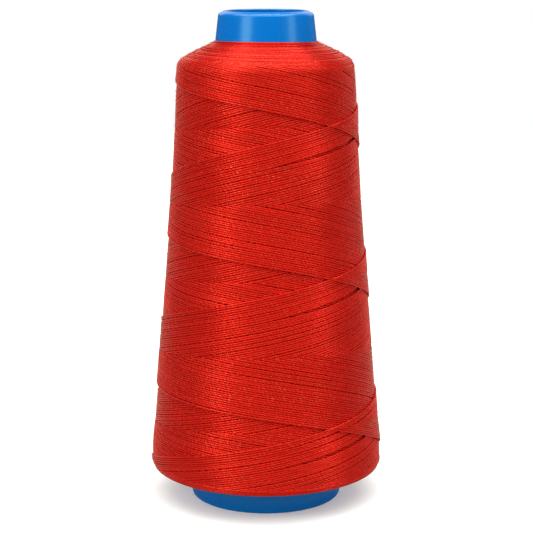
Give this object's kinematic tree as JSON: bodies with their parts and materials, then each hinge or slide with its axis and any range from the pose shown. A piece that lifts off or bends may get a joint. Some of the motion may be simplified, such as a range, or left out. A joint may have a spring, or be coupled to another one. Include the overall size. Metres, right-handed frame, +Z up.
{
  "type": "cone of sewing thread",
  "caption": "Sewing thread cross-wound on a hollow tapered plastic core that stands on its foot; a spindle passes up through it.",
  "frame": {"origin": "middle of the foot's seat, on the surface it stands on", "axes": "+Z up the core's axis from the wide foot to the narrow neck; -Y is the front"},
  "size_m": [0.0818, 0.0818, 0.17],
  "materials": {
    "core_plastic": "smooth injection-moulded polypropylene, bright blue, semi-gloss",
    "thread": "red spun polyester sewing thread, twisted plies, soft low sheen"
  },
  "bodies": {
    "root": {"cone_core": "core_plastic", "thread_winding": "thread"}
  },
  "joints": []
}
